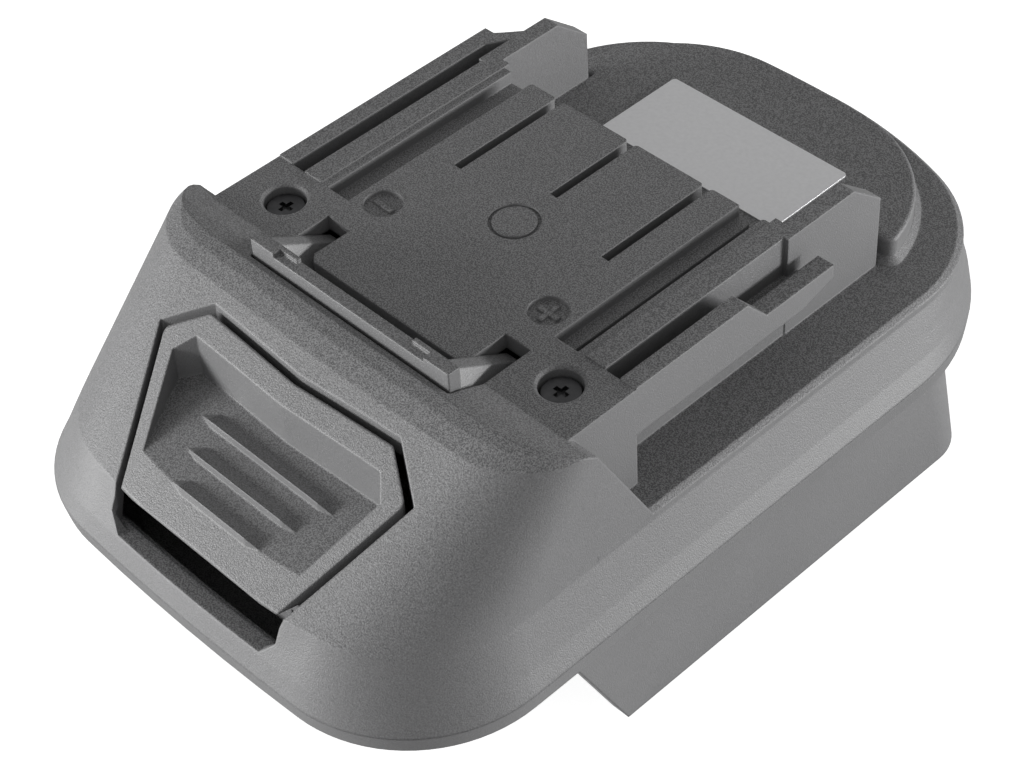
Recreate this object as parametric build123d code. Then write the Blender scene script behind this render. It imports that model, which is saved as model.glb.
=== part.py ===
from build123d import *
from math import atan2, cos, sqrt, tan
import os

os.makedirs("parts", exist_ok=True)

# Tool battery adapter: the tool slides onto the rails on top, a battery slides into the socket below.
# Millimetres. X is across, Y runs from the button end (-Y) to the open end of the rails (+Y), Z is up.
# The origin is the middle of the footprint, on the plane that the socket skirt stands on.

# Overall size and the levels of the two housings
length = 116.3
width = 75.2
skirt_drop = 19.4
belly_height = 5.6
rim_height = 2.5
band_height = 9.7
plateau_rise = 3.6
flange_floor_rise = 7.7
deck_rise = 14.8
crest_rise = 2.0
wall = 2.2
floor_wall = 2.0
cut_over = 1.0
flare_side = 3.1
flare_front = 2.3
half = width / 2 - flare_side
front_y = flare_front - length / 2
rear_y = length / 2
rim_z = skirt_drop
edge_z = rim_z + belly_height
parting_z = edge_z + rim_height
ledge_z = parting_z + band_height
plateau_z = ledge_z + plateau_rise
flange_z = ledge_z + flange_floor_rise
deck_z = ledge_z + deck_rise
crest_z = deck_z + crest_rise
floor_z = rim_z + floor_wall

# Plan outline of the body at the belt and, wider and squarer, at the foot of its flared skirt line
front_bow = 130.0
flare_bow = 400.0
rear_bow = 60.0
front_corner = 17.0
flare_corner = 19.4
rear_corner = 21.0
flare_rear_corner = 29.0
side_draw = 0.3
rear_draw = 2.5
belt_draw = 0.8
belt_height = 8.2
lip_drop = 4.5
lip_height = 2.6
lip_step = 1.3
lip_draw = 0.6
low_flare_side = 1.8
low_flare_front = 1.3
mid_flare_side = 0.8
mid_flare_front = 0.2
belly_side = 3.0
belly_front = 2.5
belly_rear = 4.5
edge_bead = 0.7
edge_height = 0.6
rim_draw = 0.4
belt_z = parting_z + belt_height

# Sloping front face, its crest and the shoulders beside the deck
crest_setback = 23.1
crest_draw = 0.9
crest_bow = 600.0
crest_corner = 10.5
crest_soft_low = 1.7
crest_soft_high = 0.5
crest_ease_low = 0.8
crest_ease_high = 1.4
hump_top_run = 4.8
hump_fall = 0.7
hump_band_run = 3.2
shoulder_head = 1.0
shoulder_drop = 0.7
shoulder_foot = 8.6
crest_y = front_y + crest_setback
band_y = crest_y + hump_top_run
deck_front_y = band_y + hump_band_run
slope_rise = crest_z - belt_z
slope_run = crest_setback - belt_draw
slope_length = sqrt(slope_rise**2 + slope_run**2)

# Deck with its two rails: side flange, groove, strip and the plate with the contact slots
deck_half = 30.0
apron_run = 10.7
core_half = 25.8
core_share = 0.26483
rail_lift = 0.2
flange_inner = 27.6
flange_share = 0.28633
groove_inner = 25.3
groove_web = 1.5
strip_step = 22.3
strip_rear = 0.9
core_length = length * core_share
flange_length = length * flange_share
step_y = deck_front_y + apron_run
core_rear_y = step_y + core_length
flange_rear_y = step_y + flange_length
rail_z = deck_z + rail_lift

# Right flange: full height at the front, then a slope down to a low tail with a lifted underside
tail_start = 18.25
tail_slope = 3.35
tail_depth = 3.7
tail_chamfer = 5.3

# Left flange: full height, tied to its tower by a short web
tie_extra = 1.6
tie_length = 2.4
tie_skew = 1.8
tie_height = 4.0

# Towers behind the strips
tower_inner = 23.5
tower_wall = 2.4
tower_share = 0.13758
tower_length = length * tower_share
tower_bevel = 5.2
tower_bevel_height = 4.2

# Rear plateau
plateau_half = 27.4
plateau_gap = 1.2
plateau_inset = 4.0
plateau_bow = 150.0
plateau_corner = 20.3
plateau_tip = 1.2
plateau_round = 0.5
plateau_cove = 0.9
plateau_rear_y = rear_y - rear_draw - plateau_inset

# Slots in the plate: guide slots open to the rear, and contact slots beside them
guide_slot = 1.3
guide_pitch = 12.4
guide_front = 13.2
guide_mid_front = 17.2
recess_outer = 21.1
recess_inner = 17.4
recess_depth = 1.8
recess_ahead = 0.5
contact_slot_right = 1.8
contact_slot_left = 1.3
contact_front = 0.7
slot_floor = 7.0
plate_pad = 1.8
finger_round = 0.5

# Marks on the deck
pole_x = 13.92
pole_back = 2.54
pole_radius = 2.45
pole_depth = 0.6
pole_bar = 3.2
pole_stroke = 0.7
gate_back = 10.8
gate_radius = 3.2
gate_width = 0.45
gate_depth = 0.35

# Screw wells in the deck
well_x = 23.3
well_ahead = 4.9
well_radius = 2.65
well_rim = 0.35
well_depth = 2.6
well_tube = 4.0
well_length = 9.8
well_y = step_y - well_ahead

# Screws: shank, head and the clearance of their holes
screw_radius = 1.25
screw_head = 2.3
screw_head_height = 1.4
screw_recess = 0.6
screw_recess_radius = 1.0
screw_clear = 0.2
quarter_turn = 90
seat_clear = 0.05
deck_screw_length = 16.0
housing_screw_length = 14.0
pilot_spare = 0.4
short_screw_reach = 3.6
block_screw_length = 16.0
boss_radius = 3.2
small_boss = 2.6
housing_screw_front_x = 25.6
housing_screw_front_y = 19.0
housing_screw_rear_x = 12.0
housing_screw_rear_y = 6.4
pilot_shrink = 0.05

# Latch button in the sloping front, as plan distances from the middle and behind the front
button_mid_back = 18.1
button_top_half = 15.6
button_top_back = 18.9
button_side_half = 20.7
button_side_back = 15.6
button_low_half = 13.75
button_low_back = 1.3
button_gap = 0.9
button_round = 0.8
button_wall = 1.4
button_wall_inset = 1.2
button_front_inset = 3.2
button_front_wall = 6.4
button_overlap = 0.5
slot_below = 5.2
slot_chamfer = 2.0
scoop_mid_back = 15.9
scoop_top_half = 15.8
scoop_top_back = 16.5
scoop_side_half = 17.9
scoop_side_back = 14.4
scoop_low_half = 13.2
scoop_low_back = 4.1
scoop_floor_rise = 2.9
scoop_fall = 0.3
scoop_under = 2.2
ridge_count = 3
ridge_pitch = 3.9
ridge_back = 12.8
ridge_half = 12.1
ridge_taper = 1.85
ridge_tip = 2.6
ridge_front = 0.7
ridge_depth = 1.8
ridge_height = 1.0
ridge_root = 0.4

# Latch bar behind the crest, its end blocks, its two ramps and the slot that they move in
bar_ahead = 4.5
bar_depth = 1.7
bar_half = 16.6
bar_rise = 4.2
bar_mid_drop = 0.6
bar_block = 12.6
bar_rib = 9.7
bar_rib_depth = 0.6
slot_lead = 0.4
slot_rear = 0.6
slot_half = 16.9
slot_flare = 1.0
slot_corner = 0.3
pocket_inner = 13.1
pocket_outer = 17.1
pocket_rear = 7.3
ramp_gap = 0.25
ramp_flat = 2.0
ramp_flank = 3.4
ramp_height = 7.0
ramp_drop = 0.6
ramp_fall = 0.585
carriage_rise = 9.1
carriage_wall = 2.0
carriage_half = 12.5
carriage_front = 7.0
guide_x = 10.0
guide_back = 22.0
guide_radius = 2.0
guide_clear = 0.08
guide_above = 5.0
spring_wall = 0.9
spring_clear = 0.3
latch_screw_x = 6.5
latch_screw_back = 12.5
bar_y = deck_front_y - bar_ahead
carriage_z = floor_z + carriage_rise

# Lower housing: rim, socket skirt, rails for the battery and the locating lip
skirt_half = 31.8
skirt_taper = 1.3
skirt_rear = 8.6
skirt_rear_taper = 2.9
skirt_corner = 7.3
skirt_wall = 2.7
skirt_front_top = 28.0
skirt_front_low = 37.7
socket_rail_rise = 4.0
socket_rail_height = 2.5
socket_rail_reach = 2.3
socket_rail_front = 4.0
locating_rise = 1.5
locating_wall = 1.2
locating_root = 0.8
locating_clear = 1.0
pad_radius = 3.6

# Lower terminal block and the three blades that the battery's contacts grip
block_half = 15.0
block_length = 13.0
block_gap = 1.8
block_low = 5.5
block_screw_x = 12.2
block_screw_back = 4.0
block_counterbore = 1.8
block_boss_height = 3.2
blade_pitch = 9.0
blade_sheet = 0.8
blade_low = 8.0
blade_height = 5.0
blade_reach = 14.0
blade_tail = 4.0
blade_inset = 3.0
blade_above = 0.6

# Circuit board, its posts and the two parts on it
board_rise = 3.6
board_thick = 1.6
board_half = 23.5
board_ahead = 3.2
board_behind = 19.0
board_post_x = 19.5
board_post_inset = 3.5
capacitor_radius = 3.15
capacitor_height = 7.0
capacitor_x = 9.0
capacitor_back = 22.0
resistor_length = 6.4
resistor_width = 3.2
resistor_height = 0.9
resistor_x = -8.0
resistor_back = 20.0
board_z = floor_z + board_rise
board_top = board_z + board_thick
board_front_y = step_y + board_ahead
board_rear_y = rear_y - board_behind

# Carrier under the deck plate and the jaws that grip the tool's blades
carrier_half = 22.4
carrier_ahead = 1.9
carrier_gap = 0.8
carrier_height = 5.2
carrier_drop = 8.8
carrier_screw_x = 5.5
carrier_screw_back = 8.0
jaw_sheet = 0.45
jaw_height = 4.0
jaw_ahead = 2.6
jaw_length = 20.0
jaw_spread = 1.5
jaw_pinch = 0.3
jaw_pinch_back = 7.0
jaw_mouth = 1.1
jaw_tail_width = 1.6
jaw_tail_length = 2.0
jaw_tail_back = 10.0
carrier_z = deck_z - carrier_drop
carrier_low_z = carrier_z - carrier_height
carrier_front_y = step_y + carrier_ahead

# Leads from the jaws to the board
lead_radius = 0.8
lead_offset = 2.0
lead_straight = 3.0
lead_ease_share = 0.45

# Rating plate, left bare
label_half = 14.85
label_length = 14.1
label_behind = 11.4
label_thick = 0.2
label_round = 0.6
bevel_share = 0.95

# Where the two contacts and the signal contact lie across the deck
positive_x = recess_outer - contact_slot_right / 2
negative_x = -recess_inner - contact_slot_left / 2
signal_x = -guide_pitch


def box(x0, x1, y0, y1, z0, z1):
    """Box between two corners."""
    return Pos((x0 + x1) / 2, (y0 + y1) / 2, (z0 + z1) / 2) * Box(x1 - x0, y1 - y0, z1 - z0)


def rod(x, y, z0, z1, radius):
    """Upright cylinder between two heights."""
    return Pos(x, y, (z0 + z1) / 2) * Cylinder(radius, z1 - z0)


def plan_prism(points, z0, z1):
    """Upright prism over a closed plan polygon."""
    return Pos(0, 0, z0) * extrude(make_face(Polyline(*points, close=True)), amount=z1 - z0)


def side_prism(points, x0, x1):
    """Prism across X over a closed polygon of (y, z) points."""
    face = Plane.YZ * make_face(Polyline(*points, close=True))
    return Pos(x0, 0, 0) * extrude(face, amount=x1 - x0)


def both_sides(shape):
    """A shape and its mirror image across the middle plane."""
    return shape + mirror(shape, about=Plane.YZ)


def outline(side, front, rear, bow_front, bow_rear, corner_front, corner_rear):
    """Closed plan face: straight sides, bowed ends through (0, front) and (0, rear), round corners."""
    front_side = front + bow_front - sqrt(bow_front**2 - side**2)
    rear_side = rear - bow_rear + sqrt(bow_rear**2 - side**2)
    edges = [
        Line((side, front_side), (side, rear_side)),
        ThreePointArc((side, rear_side), (0, rear), (-side, rear_side)),
        Line((-side, rear_side), (-side, front_side)),
        ThreePointArc((-side, front_side), (0, front), (side, front_side)),
    ]
    face = make_face(edges)
    middle = (front_side + rear_side) / 2
    rear_points = [v for v in face.vertices() if v.Y > middle]
    face = fillet(rear_points, corner_rear)
    front_points = sorted(face.vertices(), key=lambda v: v.Y)[:2]
    return fillet(front_points, corner_front)


def body_outline(z, inset_side, inset_front, inset_rear, shrink=0):
    """Body outline at one height, drawn in by the given amounts; the flare makes it squarer."""
    share = max(0, (belt_draw - inset_front) / (belt_draw + flare_front))
    face = outline(
        half - inset_side - shrink,
        front_y + inset_front + shrink,
        rear_y - inset_rear - shrink,
        front_bow + (flare_bow - front_bow) * share - shrink,
        rear_bow - shrink,
        front_corner + (flare_corner - front_corner) * share - shrink,
        rear_corner + (flare_rear_corner - rear_corner) * share - shrink,
    )
    return Pos(0, 0, z) * face


def ruled(faces):
    """Straight-sided solid through a stack of plan faces."""
    return loft([f.face() for f in faces], ruled=True)


def front_block(shrink=0):
    """The sloping front: a ruled body from the belt outline up to a softly rounded crest."""
    run = shrink * slope_length / slope_rise
    slope = slope_run / slope_rise
    levels = [
        (belt_z, side_draw, front_y + belt_draw, front_bow, front_corner),
        (crest_z - crest_soft_low, crest_draw, crest_y - crest_soft_low * slope, crest_bow, crest_corner),
        (
            crest_z - crest_soft_high,
            crest_draw + crest_ease_low,
            crest_y - crest_soft_high * slope + crest_ease_low,
            crest_bow,
            crest_corner - crest_ease_low,
        ),
        (
            crest_z,
            crest_draw + crest_ease_low + crest_ease_high,
            crest_y + crest_ease_low + crest_ease_high,
            crest_bow,
            crest_corner - crest_ease_low - crest_ease_high,
        ),
    ]
    faces = []
    for z, draw, front, bow, corner in levels:
        face = outline(
            half - draw - shrink, front + run, rear_y, bow - shrink, rear_bow, corner - shrink, rear_corner
        )
        faces.append(Pos(0, 0, z) * face)
    return ruled(faces)


def shoulder_line(shift=0):
    """Rear edge of the shoulders from the deck's front edge down to the belt, as (y, z) points."""
    head_y = deck_front_y + shoulder_head
    foot_y = deck_front_y + shoulder_foot
    head_z = deck_z - shoulder_drop
    lean = (foot_y - head_y) / (head_z - ledge_z)
    drop = ledge_z - belt_z
    return [
        (head_y - shift, head_z),
        (foot_y - shift, ledge_z),
        (foot_y + lean * drop - shift, belt_z),
    ]


def hump():
    """Front block below its nearly flat top, with the fall to the deck and the leaning shoulders."""
    profile = [
        (front_y - cut_over, belt_z),
        (front_y - cut_over, crest_z),
        (crest_y + crest_ease_low + crest_ease_high, crest_z),
        (band_y, crest_z - hump_fall),
        (deck_front_y, deck_z),
        *shoulder_line(),
    ]
    return front_block() & side_prism(profile, -width, width)


def ledge_body(shrink=0, low=parting_z, high=ledge_z):
    """Band of the upper housing: drawn in towards the top, with a soft lip round the rear."""
    lip_z = ledge_z - lip_drop
    levels = [
        (parting_z, -flare_side, -flare_front, 0),
        (lip_z - lip_height, -low_flare_side, -low_flare_front, lip_draw),
        (lip_z, -mid_flare_side, -mid_flare_front, lip_draw + lip_step),
        (belt_z, side_draw, belt_draw, rear_draw),
        (ledge_z - edge_height, side_draw, belt_draw, rear_draw),
        (ledge_z, side_draw + edge_bead, belt_draw, rear_draw + edge_bead),
    ]
    faces = [body_outline(z, side, front, rear, shrink) for z, side, front, rear in levels]
    return ruled(faces) & box(-width, width, -length, length, low, high)


def deck_plate():
    """Core between the rails, with the guide slots and contact slots open to the rear."""
    face = Pos(0, (step_y + core_rear_y) / 2) * Rectangle(groove_inner * 2, core_length)
    slots = [
        (-guide_pitch, guide_slot, guide_front),
        (0, guide_slot, guide_mid_front),
        (guide_pitch, guide_slot, guide_front),
        (positive_x, contact_slot_right, contact_front),
        (negative_x, contact_slot_left, contact_front),
    ]
    for x, slot, front in slots:
        run = core_length - front + cut_over
        face -= Pos(x, core_rear_y + cut_over - run / 2) * Rectangle(slot, run)
    ends = [v for v in face.vertices() if abs(v.Y - core_rear_y) < finger_round]
    face = fillet(ends, finger_round)
    plate = Pos(0, 0, deck_z - slot_floor) * extrude(face, amount=slot_floor)
    core = box(-core_half, core_half, step_y, core_rear_y, belt_z, flange_z)
    upper = box(-groove_inner, groove_inner, step_y, core_rear_y, flange_z - cut_over, deck_z - slot_floor)
    strip = box(strip_step, groove_inner, step_y, core_rear_y + strip_rear, flange_z, rail_z)
    for low_x in (recess_inner, -recess_outer):
        high_x = low_x + recess_outer - recess_inner
        front = step_y - recess_ahead
        plate -= box(low_x, high_x, front, core_rear_y + cut_over, deck_z - recess_depth, rail_z)
    return core + upper + plate + both_sides(strip)


def right_flange():
    """Flange of the right rail: high at the front, sloping to a low tail with a lifted underside."""
    start = step_y + tail_start
    profile = [
        (step_y, flange_z),
        (step_y, rail_z),
        (start, rail_z),
        (start + tail_slope, rail_z - tail_depth),
        (flange_rear_y, rail_z - tail_depth),
        (flange_rear_y, flange_z + groove_web),
        (flange_rear_y - tail_chamfer, flange_z),
    ]
    return side_prism(profile, flange_inner, deck_half)


def left_flange():
    """Flange of the left rail: full height, tied at its rear to the tower by a slanting web."""
    rear = flange_rear_y + tie_extra
    flange = box(-deck_half, -flange_inner, step_y, rear, flange_z, rail_z)
    tie = plan_prism(
        [
            (-flange_inner, rear - tie_length),
            (-flange_inner, rear),
            (-deck_half, rear - tie_extra),
            (-flange_inner, rear + tie_skew / 2),
            (-core_half, rear + tie_skew + tie_length / 2),
            (-core_half, rear + tie_skew - tie_length / 2),
        ],
        rail_z - tie_height,
        rail_z,
    )
    return flange + tie


def rails():
    """Both flanges on their webs, with the open groove between each flange and its strip."""
    web = box(groove_inner, flange_inner, step_y, core_rear_y + strip_rear, flange_z, flange_z + groove_web)
    inner = box(groove_inner - strip_rear, groove_inner, step_y, core_rear_y, flange_z, flange_z + groove_web)
    return both_sides(web + inner) + right_flange() + left_flange()


def tower():
    """Thin upright wall behind the strip, bevelled at its rear top."""
    rear = core_rear_y + tower_length
    profile = [
        (core_rear_y - cut_over, belt_z),
        (core_rear_y - cut_over, rail_z),
        (rear - tower_bevel, rail_z),
        (rear, rail_z - tower_bevel_height),
        (rear, belt_z),
    ]
    return side_prism(profile, tower_inner, tower_inner + tower_wall)


def plateau():
    """Raised rear deck that carries the rating plate, with a rounded rim and a cove at its foot."""
    front = core_rear_y + tower_length + plateau_gap
    full = outline(
        plateau_half, crest_y, plateau_rear_y, plateau_bow, plateau_bow, plateau_corner, plateau_corner
    )
    clip = Pos(0, (front + rear_y) / 2) * Rectangle(width, rear_y - front)
    face = full & clip
    tips = sorted(face.vertices(), key=lambda v: v.Y)[:2]
    face = fillet(tips, plateau_tip)
    raised = Pos(0, 0, belt_z) * extrude(face, amount=plateau_z - belt_z)
    raised = fillet(raised.faces().sort_by(Axis.Z)[-1].edges(), plateau_round)
    foot_face = offset(face, amount=plateau_cove)
    foot = Pos(0, 0, belt_z) * extrude(foot_face, amount=ledge_z + plateau_cove - belt_z)
    foot = chamfer(foot.faces().sort_by(Axis.Z)[-1].edges(), plateau_cove * bevel_share)
    reach = front + plateau_tip * 2
    middle = box(-tower_inner, tower_inner, core_rear_y - cut_over, reach, belt_z, plateau_z)
    return raised + foot + middle


def button_plan():
    """Plan face of the six-sided latch button."""
    points = [
        (0, front_y + button_mid_back),
        (button_top_half, front_y + button_top_back),
        (button_side_half, front_y + button_side_back),
        (button_low_half, front_y + button_low_back),
        (-button_low_half, front_y + button_low_back),
        (-button_side_half, front_y + button_side_back),
        (-button_top_half, front_y + button_top_back),
    ]
    return make_face(Polyline(*points, close=True))


def button_opening():
    """Upright opening round the button, cut down through the belt so that the button can sink."""
    low = belt_z - slot_below
    plan = offset(button_plan(), amount=button_gap, kind=Kind.INTERSECTION)
    opening = Pos(0, 0, low) * extrude(plan, amount=crest_z + cut_over - low)
    side = button_low_half + button_gap
    front = [
        (side - slot_chamfer, low),
        (side, low + slot_chamfer),
        (side, belt_z + cut_over),
        (-side, belt_z + cut_over),
        (-side, low + slot_chamfer),
        (slot_chamfer - side, low),
    ]
    face = Plane.XZ * make_face(Polyline(*front, close=True))
    depth = button_low_back + flare_front + wall * 2
    slot = Pos(0, front_y - flare_front - cut_over + depth, 0) * extrude(face, amount=depth)
    keep = box(-width, width, front_y + button_low_back - button_gap, rear_y, low, crest_z + cut_over)
    return (opening & keep) + slot


def bar_opening():
    """Slot for the latch bar and the two pockets for its ramps, cut down through the deck."""
    front = bar_y - slot_lead
    rear = deck_front_y + slot_rear
    flare = pocket_outer - slot_half + slot_flare
    half_points = [
        (slot_half - slot_corner, front),
        (slot_half, front + slot_corner),
        (pocket_outer, rear - flare),
        (pocket_outer, deck_front_y + pocket_rear),
        (pocket_inner, deck_front_y + pocket_rear),
        (pocket_inner, rear + slot_flare),
        (pocket_inner - slot_flare, rear),
    ]
    points = half_points + [(-x, y) for x, y in reversed(half_points)]
    return plan_prism(points, deck_z - slot_floor, crest_z + cut_over)


def screw_well():
    """Shallow well for a screw head with its clearance hole below."""
    rim = Pos(well_x, well_y, deck_z - well_rim / 2) * Cone(well_radius, well_radius + well_rim, well_rim)
    dish = rod(well_x, well_y, deck_z - well_depth, deck_z, well_radius)
    hole = rod(well_x, well_y, deck_z - well_length - cut_over, deck_z, screw_radius + screw_clear)
    return rim + dish + hole


def pole_marks():
    """Round recesses of the two polarity marks, each with its bars left standing."""
    y = step_y + pole_back
    floor = deck_z - pole_depth
    top = deck_z - pole_depth / 2
    marks = both_sides(rod(pole_x, y, floor, deck_z + cut_over, pole_radius))
    for x in (-pole_x, pole_x):
        marks -= Pos(x, y, (floor + top) / 2) * Box(pole_bar, pole_stroke, top - floor)
    marks -= Pos(pole_x, y, (floor + top) / 2) * Box(pole_stroke, pole_bar, top - floor)
    return marks


def gate_mark():
    """Fine ring round the moulding gate in the middle of the plate."""
    y = step_y + gate_back
    ring = rod(0, y, deck_z - gate_depth, deck_z + cut_over, gate_radius)
    return ring - rod(0, y, deck_z - gate_depth, deck_z + cut_over, gate_radius - gate_width)


def upper_bosses():
    """Screw tubes and bosses that stand inside the upper housing."""
    tubes = both_sides(rod(well_x, well_y, deck_z - well_length, deck_z, well_tube))
    front = rod(housing_screw_front_x, front_y + housing_screw_front_y, parting_z, crest_z, boss_radius)
    rear = rod(housing_screw_rear_x, rear_y - housing_screw_rear_y, parting_z, ledge_z, boss_radius)
    carrier_y = step_y + carrier_screw_back
    carrier = rod(carrier_screw_x, carrier_y, carrier_z, deck_z, small_boss)
    return tubes + both_sides(front + rear + carrier)


def cavity():
    """Hollow inside the upper housing, one wall inside its outer faces."""
    low = ledge_body(wall, parting_z, ledge_z - wall)
    low += ledge_body(wall, parting_z, belt_z) & box(-width, width, -length, deck_front_y, parting_z, belt_z)
    join_z = ledge_z - wall - cut_over
    roof = [
        (front_y - cut_over, belt_z - cut_over),
        (front_y - cut_over, crest_z - wall - hump_fall),
        (band_y, crest_z - wall - hump_fall),
        (deck_front_y, deck_z - wall),
    ]
    lean = wall / cos(atan2(shoulder_foot - shoulder_head, deck_z - shoulder_drop - ledge_z))
    head, foot, heel = shoulder_line(lean)
    share = (head[1] - deck_z + wall) / (head[1] - foot[1])
    top = (head[0] + (foot[0] - head[0]) * share, deck_z - wall)
    front = front_block(wall) & side_prism([*roof, top, foot, heel], -width, width)
    apron_half = deck_half - wall
    apron = box(-apron_half, apron_half, band_y, step_y - wall, join_z, deck_z - wall)
    core_inner = groove_inner - wall
    core = box(-core_inner, core_inner, step_y - wall * 2, core_rear_y - wall, join_z, deck_z - wall)
    pad_half = recess_outer + plate_pad / 2
    pad_low = deck_z - wall - plate_pad
    pad = box(recess_inner - plate_pad / 2, pad_half, step_y - wall, core_rear_y, pad_low, deck_z)
    side, rear_end = plateau_half - wall, plateau_rear_y - wall
    rear_face = outline(side, 0, rear_end, plateau_bow, plateau_bow, plateau_corner, plateau_corner)
    rear_front = core_rear_y + tower_length + plateau_gap + wall
    rear_clip = Pos(0, (rear_front + rear_y) / 2) * Rectangle(width, rear_y - rear_front)
    rear = Pos(0, 0, join_z) * extrude(rear_face & rear_clip, amount=plateau_z - wall - join_z)
    middle_half = tower_inner - wall
    middle_rear = rear_front + wall
    middle = box(-middle_half, middle_half, core_rear_y - wall * 2, middle_rear, join_z, plateau_z - wall)
    hollow = low + front + apron + (core - both_sides(pad)) + rear + middle
    return hollow - upper_bosses()


def upper_housing():
    """Top shell: sloping front, deck with its rails, towers and rear plateau, all one moulding."""
    rear_ledge = ledge_body(0, belt_z - cut_over) & box(
        -width, width, deck_front_y, rear_y + cut_over, parting_z, ledge_z
    )
    shell = ledge_body(0, parting_z, belt_z) + rear_ledge + hump()
    shell += box(-deck_half, deck_half, band_y, step_y, belt_z, deck_z)
    shell += deck_plate() + rails() + both_sides(tower()) + plateau()
    shell -= cavity()
    shell -= button_opening() + bar_opening()
    shell -= both_sides(screw_well()) + pole_marks() + gate_mark()
    pilot = screw_radius - pilot_shrink
    high_z = rim_z + screw_head_height + housing_screw_length + pilot_spare
    pilots = rod(housing_screw_front_x, front_y + housing_screw_front_y, parting_z, high_z, pilot)
    pilots += rod(housing_screw_rear_x, rear_y - housing_screw_rear_y, parting_z, high_z, pilot)
    pilots += rod(carrier_screw_x, step_y + carrier_screw_back, carrier_z, deck_z - wall, pilot)
    return shell - both_sides(pilots)


def skirt_face(z, inset, reach):
    """Plan face of the socket skirt at one height: round rear corners, open towards the front."""
    share = z / skirt_drop
    side = skirt_half - skirt_taper * share - inset
    rear = rear_y - skirt_rear - skirt_rear_taper * share - inset
    face = Pos(0, (rear - reach) / 2, z) * Rectangle(side * 2, rear + reach)
    corners = [v for v in face.vertices() if v.Y > 0]
    return fillet(corners, skirt_corner - inset)


def skirt():
    """Three-sided skirt round the battery, flared towards its foot, with slanted front edges."""
    outer = ruled([skirt_face(0, 0, length), skirt_face(rim_z, 0, length)])
    inner = ruled([skirt_face(0, skirt_wall, length), skirt_face(rim_z, skirt_wall, length)])
    front = side_prism(
        [
            (front_y + skirt_front_low, 0),
            (front_y + skirt_front_top, rim_z),
            (rear_y, rim_z),
            (rear_y, 0),
        ],
        -width,
        width,
    )
    foot = socket_rail_rise + socket_rail_height
    rail_out = skirt_half - skirt_taper - skirt_wall / 2
    rail_in = skirt_half - skirt_taper - skirt_wall - socket_rail_reach
    rail_front = front_y + skirt_front_low + socket_rail_front
    rail_rear = rear_y - skirt_rear - skirt_rear_taper - skirt_corner
    rail = box(rail_in, rail_out, rail_front, rail_rear, socket_rail_rise, foot)
    return (outer - inner) & front, both_sides(rail)


def rim():
    """Tray under the body: floor, belly, upright rim and the locating lip that enters the upper housing."""
    belly = (belly_side, belly_front, belly_rear)
    edge = (rim_draw - flare_side, rim_draw - flare_front, rim_draw)
    foot = (-flare_side, -flare_front, 0)
    outer = [body_outline(rim_z, *belly), body_outline(edge_z, *edge), body_outline(parting_z, *foot)]
    inner = [(floor_z, belly), (edge_z, edge), (parting_z, foot)]
    well = ruled([body_outline(z, *insets, wall) for z, insets in inner])
    shrink = wall + locating_clear
    low = edge_z - locating_root
    lip_high = parting_z + locating_rise - low
    lip = extrude(body_outline(low, *foot, shrink), amount=lip_high)
    lip -= extrude(body_outline(low, *foot, shrink + locating_wall), amount=lip_high)
    for x, y in housing_screw_places():
        lip -= rod(x, y, floor_z, ledge_z, boss_radius + locating_clear)
    return (ruled(outer) - well) + lip


def blade_profile(clear=0):
    """Side outline of a blade: a level tongue towards the front and an upright tail, as (y, z) points."""
    front = block_front_y() - blade_reach - clear
    rear = block_front_y() + block_length - blade_inset + clear
    tail = rear - blade_tail - clear * 2
    high = board_top + blade_above + clear
    top = blade_low + blade_height + clear
    low = blade_low - clear
    return [(front, low), (rear, low), (rear, high), (tail, high), (tail, top), (front, top)]


def block_front_y():
    """Front face of the lower terminal block, a set gap ahead of the skirt's rear wall."""
    rear_inner = rear_y - skirt_rear - skirt_rear_taper - skirt_wall
    return rear_inner - block_gap - block_length


def blade(x, clear=0):
    """Sheet-metal blade at one place across the block."""
    reach = (blade_sheet + clear * 2) / 2
    return side_prism(blade_profile(clear), x - reach, x + reach)


def blades(clear=0):
    """All three blades, or the slots that they stand in."""
    shapes = [blade(x, clear) for x in (-blade_pitch, 0, blade_pitch)]
    return shapes[0] + shapes[1] + shapes[2]


def guide_posts(radius, z0, z1):
    """The two posts that guide the latch, or the bores that run on them."""
    return both_sides(rod(guide_x, front_y + guide_back, z0, z1, radius))


def lower_housing():
    """Lower shell: rim plate, skirt with battery rails, and the posts and bosses that stand on it."""
    skirt_wall_body, battery_rails = skirt()
    shell = rim() + skirt_wall_body + battery_rails
    shell += guide_posts(guide_radius, rim_z, carriage_z + carriage_wall + guide_above)
    boss_high = deck_z - well_length - seat_clear
    shell += both_sides(rod(well_x, well_y, rim_z, boss_high, small_boss))
    for x, y in housing_screw_places():
        shell += rod(x, y, rim_z, parting_z, pad_radius)
    for x, y in board_screw_places():
        shell += rod(x, y, rim_z, board_z, small_boss)
    screw_y = block_front_y() + block_screw_back
    shell += both_sides(rod(block_screw_x, screw_y, rim_z, floor_z + block_boss_height, small_boss))
    shell -= blades(screw_clear)
    pilot = screw_radius - pilot_shrink
    shell -= both_sides(rod(well_x, well_y, floor_z, boss_high + cut_over, pilot))
    shell -= both_sides(rod(block_screw_x, screw_y, rim_z - cut_over, floor_z + block_boss_height, pilot))
    for x, y in board_screw_places():
        shell -= rod(x, y, floor_z, board_z + cut_over, pilot)
    for x, y in housing_screw_places():
        shell -= rod(x, y, rim_z - cut_over, parting_z + cut_over, screw_radius + screw_clear)
        head = rod(x, y, rim_z - cut_over, rim_z + screw_head_height, screw_head + screw_clear)
        shell -= head
    return shell


def housing_screw_places():
    """The four screws that join the two housings, as (x, y)."""
    front = (housing_screw_front_x, front_y + housing_screw_front_y)
    rear = (housing_screw_rear_x, rear_y - housing_screw_rear_y)
    return [(x * side, y) for x, y in (front, rear) for side in (-1, 1)]


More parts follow.
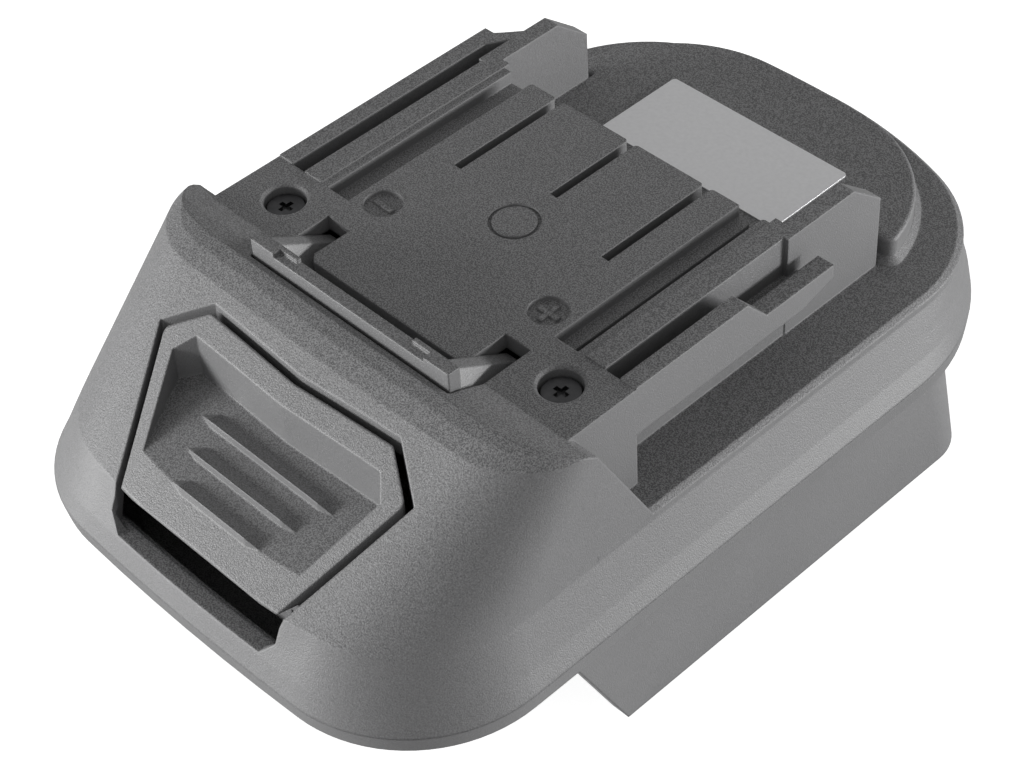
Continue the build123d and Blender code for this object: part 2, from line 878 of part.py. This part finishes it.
def board_screw_places():
    """The four screws of the circuit board, as (x, y)."""
    ys = (board_front_y + board_post_inset, board_rear_y - board_post_inset)
    return [(board_post_x * side, y) for y in ys for side in (-1, 1)]


def screw(x, y, seat_z, reach, up):
    """Cross-recessed pan screw: head seat at seat_z, shank going down, or up when up is 1."""
    way = 1 if up else -1
    head_z = seat_z - way * screw_head_height
    shank_z = seat_z + way * reach
    body = rod(x, y, min(seat_z, head_z), max(seat_z, head_z), screw_head)
    body += rod(x, y, min(seat_z, shank_z), max(seat_z, shank_z), screw_radius - pilot_shrink * 2)
    middle_z = head_z + way * screw_recess / 2
    for angle in (0, quarter_turn):
        bar = Box(screw_recess_radius * 2, screw_recess, screw_recess)
        body -= Pos(x, y, middle_z) * Rot(Z=angle) * bar
    return body


def joined(shapes):
    """One compound of separate solids."""
    return Compound(children=list(shapes))


def deck_screws():
    """The two screws in the deck's wells, which hold the upper housing to the lower one."""
    seat = deck_z - well_depth
    return joined(screw(x, well_y, seat, deck_screw_length, False) for x in (-well_x, well_x))


def housing_screws():
    """The four screws under the rim."""
    seat = rim_z + screw_head_height
    return joined(screw(x, y, seat, housing_screw_length, True) for x, y in housing_screw_places())


def board_screws():
    """The four screws that hold the circuit board to its posts."""
    places = board_screw_places()
    return joined(screw(x, y, board_top, board_thick + short_screw_reach, False) for x, y in places)


def terminal_block_screws():
    """The two screws that hold the lower terminal block."""
    seat = block_low + block_counterbore
    y = block_front_y() + block_screw_back
    return joined(screw(x, y, seat, block_screw_length, True) for x in (-block_screw_x, block_screw_x))


def carrier_screws():
    """The two screws that hold the contact carrier up against its bosses."""
    y = step_y + carrier_screw_back
    places = (-carrier_screw_x, carrier_screw_x)
    return joined(screw(x, y, carrier_low_z, carrier_height + short_screw_reach, True) for x in places)


def latch_screws():
    """The two screws that hold the latch bar's carriage to the button."""
    y = front_y + latch_screw_back
    places = (-latch_screw_x, latch_screw_x)
    return joined(screw(x, y, carriage_z, carriage_wall + short_screw_reach, True) for x in places)


def lower_terminal_block():
    """Insulating block under the floor, slotted for the three blades."""
    front = block_front_y()
    block = box(-block_half, block_half, front, front + block_length, block_low, rim_z)
    block -= blades(seat_clear)
    screw_y = front + block_screw_back
    hole = rod(block_screw_x, screw_y, block_low - cut_over, rim_z + cut_over, screw_radius + screw_clear)
    head_z = block_low + block_counterbore
    head = rod(block_screw_x, screw_y, block_low - cut_over, head_z, screw_head + screw_clear)
    return block - both_sides(hole + head)


def circuit_board():
    """Circuit board on its posts, slotted for the blade tails."""
    board = box(-board_half, board_half, board_front_y, board_rear_y, board_z, board_top)
    board -= blades(seat_clear)
    for x, y in board_screw_places():
        board -= rod(x, y, board_z - cut_over, board_top + cut_over, screw_radius + screw_clear)
    return board


def smoothing_capacitor():
    """Round can on the circuit board."""
    y = board_front_y + capacitor_back
    return rod(capacitor_x, y, board_top, board_top + capacitor_height, capacitor_radius)


def sense_resistor():
    """Flat chip resistor on the circuit board."""
    y = board_front_y + resistor_back
    body = Box(resistor_length, resistor_width, resistor_height)
    return Pos(resistor_x, y, board_top + resistor_height / 2) * body


def jaw_leaf(x, way):
    """One spring leaf of a jaw: pinched towards the middle, flared at its open rear end."""
    front = step_y + jaw_ahead
    points = [
        (x + way * jaw_spread, front),
        (x + way * jaw_spread, front + jaw_ahead),
        (x + way * jaw_pinch, front + jaw_pinch_back),
        (x + way * jaw_mouth, front + jaw_pinch_back * 2),
        (x + way * jaw_pinch, front + jaw_length - jaw_ahead),
        (x + way * jaw_mouth, front + jaw_length),
    ]
    back = [(px + way * jaw_sheet, py) for px, py in points]
    edges = [Spline(*points), Line(points[-1], back[-1]), Spline(*reversed(back)), Line(back[0], points[0])]
    return Pos(0, 0, carrier_z) * extrude(make_face(edges), amount=jaw_height)


def jaw_tail(x, clear=0):
    """Solder tail of a jaw, down through the carrier."""
    y = step_y + jaw_ahead + jaw_tail_back
    side = jaw_tail_width / 2 + clear
    low = carrier_low_z - jaw_tail_length - clear
    return box(x - side, x + side, y - jaw_sheet / 2 - clear, y + jaw_sheet / 2 + clear, low, carrier_z)


def jaw(x):
    """Contact jaw: two leaves standing on one base strip, with a tail to its lead."""
    front = step_y + jaw_ahead
    side = jaw_spread + jaw_sheet
    base = box(x - side, x + side, front, front + jaw_length, carrier_z, carrier_z + jaw_sheet)
    return base + jaw_leaf(x, -1) + jaw_leaf(x, 1) + jaw_tail(x)


def jaw_places():
    """Where the three jaws stand across the deck."""
    return (positive_x, negative_x, signal_x)


def top_contact_carrier():
    """Insulating plate under the deck that carries the three jaws."""
    rear = core_rear_y - wall - carrier_gap
    plate = box(-carrier_half, carrier_half, carrier_front_y, rear, carrier_low_z, carrier_z)
    for x in jaw_places():
        plate -= jaw_tail(x, seat_clear)
    y = step_y + carrier_screw_back
    hole = rod(carrier_screw_x, y, carrier_low_z - cut_over, carrier_z + cut_over, screw_radius + screw_clear)
    return plate - both_sides(hole)


def lead(x):
    """Insulated lead from a jaw's tail down to the board, eased sideways in two gentle bends."""
    y = step_y + jaw_ahead + jaw_tail_back
    top = carrier_low_z - jaw_tail_length
    way = -1 if x > 0 else 1
    points = [
        (x, y, top),
        (x, y, top - lead_straight),
        (x + way * lead_offset, y, board_top + lead_straight),
        (x + way * lead_offset, y, board_top),
    ]
    turn = atan2(lead_offset, top - board_top - lead_straight * 2)
    radius = lead_ease_share * lead_straight / tan(turn / 2)
    route = FilletPolyline(*points, radius=radius)
    section = Plane(origin=points[0], z_dir=(0, 0, -1)) * Circle(lead_radius)
    return sweep(section, path=route)


def label_plate():
    """Thin bare rating plate on the rear plateau."""
    rear = rear_y - rear_draw - plateau_inset - label_behind
    face = RectangleRounded(label_half * 2, label_length, label_round)
    return extrude(Pos(0, rear - label_length / 2, plateau_z) * face, amount=label_thick)


def scoop_floor(rise, back):
    """Height of the scoop floor, or of a plane parallel to it, at a distance behind the front."""
    return belt_z + rise + scoop_fall * (back - scoop_low_back)


def above_floor(rise, high):
    """Everything between a plane parallel to the scoop floor and a level height."""
    back = crest_setback + button_side_half
    points = [
        (front_y - cut_over, scoop_floor(rise, -cut_over)),
        (front_y + back, scoop_floor(rise, back)),
        (front_y + back, high),
        (front_y - cut_over, high),
    ]
    return side_prism(points, -width, width)


def grip_ridge(index):
    """One grip ridge: steep towards the front, shallow behind, pointed at both ends."""
    back = ridge_back - index * ridge_pitch
    reach = ridge_half - index * ridge_taper
    floor = scoop_floor(scoop_floor_rise, back)
    y = front_y + back
    section = Plane.YZ * make_face(
        Polyline(
            (y - ridge_front, floor - ridge_root),
            (y - ridge_front, floor + ridge_height),
            (y + ridge_depth, floor + scoop_fall * ridge_depth - ridge_root),
            close=True,
        )
    )
    left = Vertex(-reach, y, floor - ridge_root)
    right = Vertex(reach, y, floor - ridge_root)
    inner = reach - ridge_tip
    faces = [left, (Pos(-inner, 0, 0) * section).face(), (Pos(inner, 0, 0) * section).face(), right]
    return loft(faces, ruled=True)


def latch_button():
    """Six-sided thumb button flush with the sloping front, with its scoop, ridges and rear walls."""
    plan = fillet(button_plan().vertices(), button_round)
    under = scoop_floor_rise - scoop_under
    block = Pos(0, 0, belt_z) * extrude(plan, amount=crest_rise + crest_z - belt_z)
    block = block & front_block() & above_floor(under, crest_z)
    scoop = plan_prism(
        [
            (0, front_y + scoop_mid_back),
            (scoop_top_half, front_y + scoop_top_back),
            (scoop_side_half, front_y + scoop_side_back),
            (scoop_low_half, front_y + scoop_low_back),
            (-scoop_low_half, front_y + scoop_low_back),
            (-scoop_side_half, front_y + scoop_side_back),
            (-scoop_top_half, front_y + scoop_top_back),
        ],
        belt_z,
        crest_z,
    )
    block -= scoop & above_floor(scoop_floor_rise, crest_z)
    for index in range(ridge_count):
        block += grip_ridge(index)
    wall_low = carriage_z + carriage_wall + button_overlap
    outer = offset(button_plan(), amount=-button_wall_inset, kind=Kind.INTERSECTION)
    inner = offset(button_plan(), amount=-button_wall_inset - button_wall, kind=Kind.INTERSECTION)
    high = crest_z - wall_low
    ring = Pos(0, 0, wall_low) * (extrude(outer, amount=high) - extrude(inner, amount=high))
    ring -= above_floor(under + button_overlap, crest_z + cut_over)
    front = front_y + button_low_back + button_front_inset
    block += ring & box(-width, width, front, rear_y, 0, crest_z)
    low = belt_z - button_front_wall
    high = scoop_floor(under, button_low_back + button_front_inset) + button_overlap
    block += box(-carriage_half, carriage_half, front, front + button_wall, low, high)
    boss = rod(latch_screw_x, front_y + latch_screw_back, carriage_z + carriage_wall, crest_z, small_boss)
    boss -= above_floor(under + button_overlap, crest_z + cut_over)
    block += both_sides(boss)
    depth = carriage_wall + short_screw_reach
    pilot = screw_radius - pilot_shrink
    hole = rod(latch_screw_x, front_y + latch_screw_back, carriage_z, carriage_z + depth, pilot)
    return block - both_sides(hole)


def ramp(shift):
    """Ramp behind the bar: flat on one side of its ridge, leaning on the other, falling to the rear."""
    low_x = pocket_inner + ramp_gap + shift
    high_x = pocket_outer - ramp_gap + shift
    top = deck_z + bar_rise - ramp_drop
    points = [
        (low_x, top),
        (low_x + ramp_flat, top),
        (high_x, top - ramp_flank),
        (high_x, top - ramp_height),
        (low_x, top - ramp_height),
    ]
    start = bar_y + bar_depth / 2
    run = deck_front_y + pocket_rear - ramp_gap - start
    face = Pos(0, start, 0) * (Plane.XZ * make_face(Polyline(*points, close=True)))
    reach = run * sqrt(1 + ramp_fall**2)
    return extrude(face, amount=reach, dir=(0, 1, -ramp_fall))


def latch_bar():
    """Latch bar with its end blocks and ramps, standing on the carriage that the springs lift."""
    rear = bar_y + bar_depth
    top = deck_z + bar_rise
    bar = box(-bar_half, bar_half, bar_y, rear, carriage_z, top - bar_mid_drop)
    block = box(bar_block, bar_half, bar_y, rear, carriage_z, top)
    rib = box(bar_rib, bar_block + bar_rib_depth, rear - bar_rib_depth, rear, carriage_z, top)
    bar += both_sides(block + rib)
    bar += ramp(0) + ramp(-pocket_inner - pocket_outer)
    high = carriage_z + carriage_wall
    front = front_y + carriage_front
    bar += box(-carriage_half, carriage_half, front, rear, carriage_z, high)
    bar -= guide_posts(guide_radius + guide_clear, carriage_z - cut_over, high + cut_over)
    y = front_y + latch_screw_back
    hole = rod(latch_screw_x, y, carriage_z - cut_over, high + cut_over, screw_radius + screw_clear)
    return bar - both_sides(hole)


def latch_spring(way):
    """Spring round one guide post, as the plain sleeve that its turns fill."""
    inner = guide_radius + spring_clear
    y = front_y + guide_back
    sleeve = rod(way * guide_x, y, floor_z, carriage_z, inner + spring_wall)
    return sleeve - rod(way * guide_x, y, floor_z, carriage_z, inner)


nodes = {
    "upper_housing": upper_housing,
    "lower_housing": lower_housing,
    "latch_button": latch_button,
    "latch_bar": latch_bar,
    "latch_screws": latch_screws,
    "latch_spring_left": lambda: latch_spring(-1),
    "latch_spring_right": lambda: latch_spring(1),
    "label_plate": label_plate,
    "top_contact_carrier": top_contact_carrier,
    "carrier_screws": carrier_screws,
    "positive_jaw": lambda: jaw(positive_x),
    "negative_jaw": lambda: jaw(negative_x),
    "signal_jaw": lambda: jaw(signal_x),
    "positive_lead": lambda: lead(positive_x),
    "negative_lead": lambda: lead(negative_x),
    "signal_lead": lambda: lead(signal_x),
    "circuit_board": circuit_board,
    "smoothing_capacitor": smoothing_capacitor,
    "sense_resistor": sense_resistor,
    "board_screws": board_screws,
    "lower_terminal_block": lower_terminal_block,
    "terminal_block_screws": terminal_block_screws,
    "positive_blade": lambda: blade(blade_pitch),
    "negative_blade": lambda: blade(-blade_pitch),
    "signal_blade": lambda: blade(0),
    "deck_screws": deck_screws,
    "housing_screws": housing_screws,
}

for name, make in nodes.items():
    shape = make()
    export_step(shape, "parts/" + name + ".step")
    print(name, round(shape.volume, 1))
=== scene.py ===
import math

import bpy
import numpy as np
from mathutils import Matrix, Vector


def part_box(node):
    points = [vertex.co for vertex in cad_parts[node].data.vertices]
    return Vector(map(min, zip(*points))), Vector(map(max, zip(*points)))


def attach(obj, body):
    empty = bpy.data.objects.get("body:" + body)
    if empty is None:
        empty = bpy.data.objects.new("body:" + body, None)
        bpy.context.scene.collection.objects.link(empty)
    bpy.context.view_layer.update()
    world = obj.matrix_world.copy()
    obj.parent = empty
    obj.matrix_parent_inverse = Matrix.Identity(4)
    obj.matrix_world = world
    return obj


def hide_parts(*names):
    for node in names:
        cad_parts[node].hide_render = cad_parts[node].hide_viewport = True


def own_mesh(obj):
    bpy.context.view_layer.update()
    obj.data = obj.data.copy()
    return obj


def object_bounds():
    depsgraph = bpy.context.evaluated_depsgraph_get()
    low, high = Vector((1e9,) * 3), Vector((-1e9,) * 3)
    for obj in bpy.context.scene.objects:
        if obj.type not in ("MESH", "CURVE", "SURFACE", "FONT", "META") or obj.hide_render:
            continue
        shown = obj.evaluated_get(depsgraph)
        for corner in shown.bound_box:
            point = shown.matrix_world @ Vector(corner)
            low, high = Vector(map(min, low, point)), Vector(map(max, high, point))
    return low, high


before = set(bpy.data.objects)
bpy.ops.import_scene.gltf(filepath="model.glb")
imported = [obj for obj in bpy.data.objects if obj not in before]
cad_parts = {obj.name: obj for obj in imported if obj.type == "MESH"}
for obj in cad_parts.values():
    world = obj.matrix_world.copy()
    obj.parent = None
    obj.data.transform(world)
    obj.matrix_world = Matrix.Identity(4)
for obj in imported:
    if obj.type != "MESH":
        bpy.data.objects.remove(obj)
cad_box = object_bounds()

# Camera. The adapter is seen from its front right corner, well above the deck, with a long lens.
# The place, the turn and the field come from matching the deck, rails and skirt to the photograph.
turn = math.radians(48.289)
height = math.radians(44.135)
roll = math.radians(-3.751)
camera_place = (0.1636, -0.15115, 0.2394)
focal_pixels = 2454.967
picture_width = 1024
sensor_width = 36
near_limit = 0.01
back = np.array([math.sin(turn) * math.cos(height), -math.cos(turn) * math.cos(height), math.sin(height)])
level = np.cross([0, 0, 1.0], back)
level /= np.linalg.norm(level)
rise = np.cross(back, level)
right = math.cos(roll) * level + math.sin(roll) * rise
up = -math.sin(roll) * level + math.cos(roll) * rise
lens = bpy.data.cameras.new("camera")
lens.sensor_width = sensor_width
lens.lens = focal_pixels / picture_width * sensor_width
lens.clip_start = near_limit
camera = bpy.data.objects.new("camera", lens)
camera.matrix_world = Matrix(np.array([right, up, back]).T.tolist()).to_4x4()
camera.location = camera_place
bpy.context.scene.collection.objects.link(camera)
bpy.context.scene.camera = camera
bpy.context.scene.view_settings.view_transform = "Standard"


class Value:
    """A number flowing through a material: arithmetic on it adds Math nodes."""

    def __init__(self, finish, socket):
        self.finish = finish
        self.socket = socket

    def join(self, operation, first, second):
        """Math node on two values."""
        return self.finish.node("ShaderNodeMath", {"operation": operation}, {0: first, 1: second})

    def __add__(self, other):
        return self.join("ADD", self, other)

    def __radd__(self, other):
        return self.join("ADD", other, self)

    def __sub__(self, other):
        return self.join("SUBTRACT", self, other)

    def __rsub__(self, other):
        return self.join("SUBTRACT", other, self)

    def __mul__(self, other):
        return self.join("MULTIPLY", self, other)

    def __rmul__(self, other):
        return self.join("MULTIPLY", other, self)

    def __pow__(self, other):
        return self.join("POWER", self, other)


class Finish:
    """One material: a Principled surface whose inputs are values, colours or what nodes give."""

    def __init__(self, name, **inputs):
        self.material = bpy.data.materials.new(name)
        self.material.use_nodes = True
        self.tree = self.material.node_tree
        self.surface = self.tree.nodes["Principled BSDF"]
        self.place = self.node("ShaderNodeTexCoord", {}, {}, "Object")
        for socket, value in inputs.items():
            self.set(socket.replace("_", " "), value)

    def fill(self, socket, value):
        """Puts a number, a colour or another node's value into a socket."""
        if isinstance(value, Value):
            self.tree.links.new(value.socket, socket)
        else:
            socket.default_value = value

    def node(self, kind, settings, inputs, output=0):
        """Adds a node: its settings first, then its sockets. A list fills a ramp's stops."""
        made = self.tree.nodes.new(kind)
        for name, value in settings.items():
            if name == "stops":
                for index, (place, colour) in enumerate(value):
                    stops = made.color_ramp.elements
                    stop = stops[index] if index < 2 else stops.new(place)
                    stop.position = place
                    stop.color = colour
            else:
                setattr(made, name, value)
        for name, value in inputs.items():
            self.fill(made.inputs[name], value)
        return Value(self, made.outputs[output])

    def set(self, socket, value):
        """Sets one input of the surface."""
        self.fill(self.surface.inputs[socket], value)

    def noise(self, scale, detail=2.0, rough=0.5):
        """Fine cloud pattern in the piece's own space, from 0 to 1."""
        inputs = {"Vector": self.place, "Scale": scale, "Detail": detail, "Roughness": rough}
        return self.node("ShaderNodeTexNoise", {}, inputs, "Fac")

    def between(self, amount, low, high):
        """Colour between two grey or coloured tones, by an amount from 0 to 1."""
        stops = [(0.0, (*low, 1.0)), (1.0, (*high, 1.0))]
        return self.node("ShaderNodeValToRGB", {"stops": stops}, {"Fac": amount}, "Color")

    def relief(self, amount, depth, edge=0.0):
        """Bump of that depth in metres, over edges softened to a radius."""
        inputs = {"Height": amount, "Distance": depth, "Strength": 1.0}
        if edge:
            rounded = self.node("ShaderNodeBevel", {"samples": 6}, {"Radius": edge}, "Normal")
            inputs["Normal"] = rounded
        self.set("Normal", self.node("ShaderNodeBump", {}, inputs, "Normal"))


def dress(finish, *names):
    """Gives CAD nodes one finish."""
    for name in names:
        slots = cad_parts[name].data.materials
        slots.clear()
        slots.append(finish.material)


# Surroundings. The photograph is a cut-out on white. Two wide lamps stand low, one to the left of the button
# end and one to the right behind the rails, and a dim even sky fills in, so that level faces stay dark.
def soft_box(name, place, aim, size, power):
    """Oblong lamp at a place, turned to face a point, with its long side level."""
    lamp = bpy.data.lights.new(name, "AREA")
    lamp.shape = "RECTANGLE"
    lamp.size, lamp.size_y = size
    lamp.energy = power
    box = bpy.data.objects.new(name, lamp)
    way = np.array(place) - np.array(aim)
    way = way / np.linalg.norm(way)
    side = np.array([-place[1], place[0], 0.0]) / math.hypot(place[0], place[1])
    top = np.cross(way, side)
    box.matrix_world = Matrix(np.array([side, top, way]).T.tolist()).to_4x4()
    box.location = place
    bpy.context.scene.collection.objects.link(box)


middle = (0.0, 0.0, 0.03)
soft_box("left_box", place=(-0.53, -0.70, 0.13), aim=middle, size=(0.40, 0.20), power=9.1)
soft_box("right_box", place=(0.67, 0.58, 0.11), aim=middle, size=(0.40, 0.16), power=7.8)

sky_strength = 0.38
seen_strength = 1.0
world = bpy.data.worlds.new("studio")
bpy.context.scene.world = world
world.use_nodes = True
sky = world.node_tree
seen = sky.nodes.new("ShaderNodeLightPath")
dim = sky.nodes.new("ShaderNodeMix")
dim.data_type = "FLOAT"
dim.inputs["A"].default_value = sky_strength
dim.inputs["B"].default_value = seen_strength
sky.links.new(seen.outputs["Is Camera Ray"], dim.inputs["Factor"])
sky.links.new(dim.outputs["Result"], sky.nodes["Background"].inputs["Strength"])
sky.nodes["Background"].inputs["Color"].default_value = (1, 1, 1, 1)

floor_half = 1.2
floor_level = cad_box[0][2]
paper_glow = 0.75
floor_mesh = bpy.data.meshes.new("floor")
corners = [
    (-floor_half, -floor_half, floor_level),
    (floor_half, -floor_half, floor_level),
    (floor_half, floor_half, floor_level),
    (-floor_half, floor_half, floor_level),
]
floor_mesh.from_pydata(corners, [], [(0, 1, 2, 3)])
floor = bpy.data.objects.new("floor", floor_mesh)
bpy.context.scene.collection.objects.link(floor)
paper = Finish("paper", Base_Color=(0.8, 0.8, 0.8, 1), Roughness=0.9)
camera_ray = paper.node("ShaderNodeLightPath", {}, {}, "Is Camera Ray")
paper.set("Emission Color", (1, 1, 1, 1))
paper.set("Emission Strength", camera_ray * paper_glow)
floor_mesh.materials.append(paper.material)


# Housings. Two halves moulded in charcoal glass-filled plastic. The spark-eroded grain is speckle in the
# colour, with painted glints that raise its
# # contrast on faces that look up, so it is hardly seen on the sides. The edges are slightly rounded where the
# tool parts meet.
def moulded(name, dark, light, rough):
    """Charcoal plastic: tone = speckle times (base + gain times upward facing cubed) + slow drift; the upward
    gain is painted glints on the grain.
    """
    finish = Finish(name)
    grain_scale, fleck_scale, drift_scale = 9000, 5600, 38
    grain_share, fleck_share = 0.4, 0.6
    side_contrast, painted_glint_gain, painted_glint_power = 0.7, 4.4, 3.0
    drift_contrast, rough_contrast = 0.3, 0.25
    grain_depth, edge_radius, mean = 0.00004, 0.0004, 0.5
    grain = finish.noise(grain_scale, 0.0, 0.5)
    fleck = finish.noise(fleck_scale, 0.0, 0.5)
    drift = finish.noise(drift_scale, 3.0, 0.55)
    speckle = grain * grain_share + fleck * fleck_share
    facing = finish.node("ShaderNodeTexCoord", {}, {}, "Normal")
    upward = finish.node("ShaderNodeSeparateXYZ", {}, {"Vector": facing}, "Z")
    upward_glint_mask = finish.node("ShaderNodeMath", {"operation": "MAXIMUM"}, {0: upward, 1: 0.0})
    # Painted glints: the real grain's speckle contrast is raised on upward faces, standing in for lamp light
    # glinting off the grain there.
    grain_and_glint_contrast = side_contrast + upward_glint_mask**painted_glint_power * painted_glint_gain
    tone = (speckle - mean) * grain_and_glint_contrast + (drift - mean) * drift_contrast + mean
    finish.set("Base Color", finish.between(tone, dark, light))
    finish.set("Roughness", rough + (speckle - mean) * rough_contrast)
    finish.relief(speckle, grain_depth, edge_radius)
    return finish


housing_plastic = moulded("housing_plastic", dark=(0.092, 0.092, 0.094), light=(0.242, 0.242, 0.245), rough=0.5)
dress(housing_plastic, "upper_housing", "lower_housing")

# Latch. The thumb button and the bar behind the crest are moulded in the same plastic, a little smoother.
latch_plastic = moulded("latch_plastic", dark=(0.104, 0.104, 0.106), light=(0.232, 0.232, 0.235), rough=0.46)
dress(latch_plastic, "latch_button", "latch_bar")


# Latch springs. Two coils of bright spring wire stand round the guide posts under the carriage and lift
# the latch. Their ends are closed and ground flat.
def coil(low, high, inner, wire, turns):
    """Wire along a helix: angle runs evenly, height is level for half a turn at each end, even between."""
    steps_per_turn = 28
    wire_sides = 10
    steps = steps_per_turn * turns
    along = np.linspace(0, 1, steps)
    angle = along * turns * 2 * math.pi
    climbed = np.clip((along - 0.5 / turns) / (1 - 1 / turns), 0, 1)
    middle_x = (low[0] + high[0]) / 2
    middle_y = (low[1] + high[1]) / 2
    radius = inner + wire
    climb = low[2] + wire + climbed * (high[2] - low[2] - wire * 2)
    path = np.stack([middle_x + radius * np.cos(angle), middle_y + radius * np.sin(angle), climb], 1)
    out = np.stack([np.cos(angle), np.sin(angle), np.zeros(steps)], 1)
    round_angle = np.linspace(0, 2 * math.pi, wire_sides, endpoint=False)[None, :, None]
    ring = np.cos(round_angle) * out[:, None] + np.sin(round_angle) * np.array([0, 0, 1.0])
    return path[:, None] + wire * ring


def tube_piece(name, ring):
    """Mesh skin over rows of rings, with both ends closed."""
    rows, sides = ring.shape[:2]
    index = np.arange(rows * sides).reshape(rows, sides)
    beside = np.roll(index, -1, axis=1)
    quads = np.stack([index[:-1], index[1:], beside[1:], beside[:-1]], -1).reshape(-1, 4)
    faces = quads.tolist() + [index[0].tolist(), index[-1][::-1].tolist()]
    mesh = bpy.data.meshes.new(name)
    mesh.from_pydata(ring.reshape(-1, 3).tolist(), [], faces)
    mesh.validate()
    mesh.polygons.foreach_set("use_smooth", [True] * len(mesh.polygons))
    piece = bpy.data.objects.new(name, mesh)
    bpy.context.scene.collection.objects.link(piece)
    return piece


coil_inner = 0.0023
coil_wire = 0.00042
coil_turns = 6
spring_steel = Finish("spring_steel", Base_Color=(0.55, 0.55, 0.56, 1), Metallic=1.0)
spring_steel.set("Roughness", 0.25 + spring_steel.noise(900) * 0.15)
for side in ("left", "right"):
    node = "latch_spring_" + side
    low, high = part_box(node)
    spring = tube_piece("latch_coil_" + side, coil(low, high, coil_inner, coil_wire, coil_turns))
    spring.data.materials.append(spring_steel.material)
    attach(spring, "housing")
    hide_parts(node)
    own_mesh(spring)

# Screws. Black-plated pan screws with a cross recess hold the deck, the rim, the board and the blocks.
screw_steel = Finish("screw_steel", Metallic=1.0)
wear = screw_steel.noise(700, 3.0)
screw_steel.set("Base Color", screw_steel.between(wear, (0.05, 0.05, 0.052), (0.16, 0.16, 0.165)))
screw_steel.set("Roughness", 0.35 + wear * 0.2)
screw_steel.relief(wear, 0.00003, 0.00012)
dress(
    screw_steel,
    "deck_screws",
    "housing_screws",
    "board_screws",
    "carrier_screws",
    "terminal_block_screws",
    "latch_screws",
)

# Contacts. Jaws and blades are stamped from nickel-plated copper and shine in the slots of the deck.
contact_metal = Finish("contact_metal", Base_Color=(0.80, 0.78, 0.74, 1), Metallic=1.0)
contact_metal.set("Roughness", 0.18 + contact_metal.noise(1500) * 0.12)
dress(
    contact_metal,
    "positive_jaw",
    "negative_jaw",
    "signal_jaw",
    "positive_blade",
    "negative_blade",
    "signal_blade",
)

# Insulators. The contact carrier under the deck and the terminal block in the socket are black mouldings.
insulator = Finish("insulator")
mould = insulator.noise(3800, 2.0)
insulator.set("Base Color", insulator.between(mould, (0.018, 0.018, 0.019), (0.04, 0.04, 0.042)))
insulator.set("Roughness", 0.5 + mould * 0.1)
insulator.relief(mould, 0.00003, 0.0003)
dress(insulator, "top_contact_carrier", "lower_terminal_block")

# Circuit board. Green solder mask on glass laminate, with a round can and a chip resistor on it.
board_laminate = Finish("board_laminate")
mask = board_laminate.noise(420, 2.0)
board_laminate.set("Base Color", board_laminate.between(mask, (0.012, 0.09, 0.035), (0.02, 0.14, 0.055)))
board_laminate.set("Roughness", 0.3)
board_laminate.relief(mask, 0.00003, 0.0001)
dress(board_laminate, "circuit_board")
can_metal = Finish("capacitor_can", Base_Color=(0.6, 0.6, 0.62, 1), Metallic=1.0)
can_metal.set("Roughness", 0.3 + can_metal.noise(1200) * 0.1)
dress(can_metal, "smoothing_capacitor")
chip = Finish("resistor_body", Base_Color=(0.03, 0.03, 0.03, 1))
chip.set("Roughness", 0.35 + chip.noise(2500) * 0.1)
dress(chip, "sense_resistor")

# Leads. Three short insulated wires run from the jaws' tails down to the board.
for node, colour in (
    ("positive_lead", (0.45, 0.03, 0.02, 1)),
    ("negative_lead", (0.02, 0.02, 0.02, 1)),
    ("signal_lead", (0.7, 0.7, 0.68, 1)),
):
    sleeve = Finish(node, Base_Color=colour)
    sleeve.set("Roughness", 0.4 + sleeve.noise(900) * 0.1)
    dress(sleeve, node)

# Rating plate. A thin satin silver foil under clear film, stuck on the rear plateau. It is left bare.
label_foil = Finish("label_foil", Metallic=0.6)
brushed = label_foil.noise(1800, 3.0)
label_foil.set("Base Color", label_foil.between(brushed, (0.80, 0.80, 0.81), (0.92, 0.92, 0.93)))
label_foil.set("Roughness", 0.38 + brushed * 0.12)
label_foil.relief(brushed, 0.00001, 0.00008)
dress(label_foil, "label_plate")
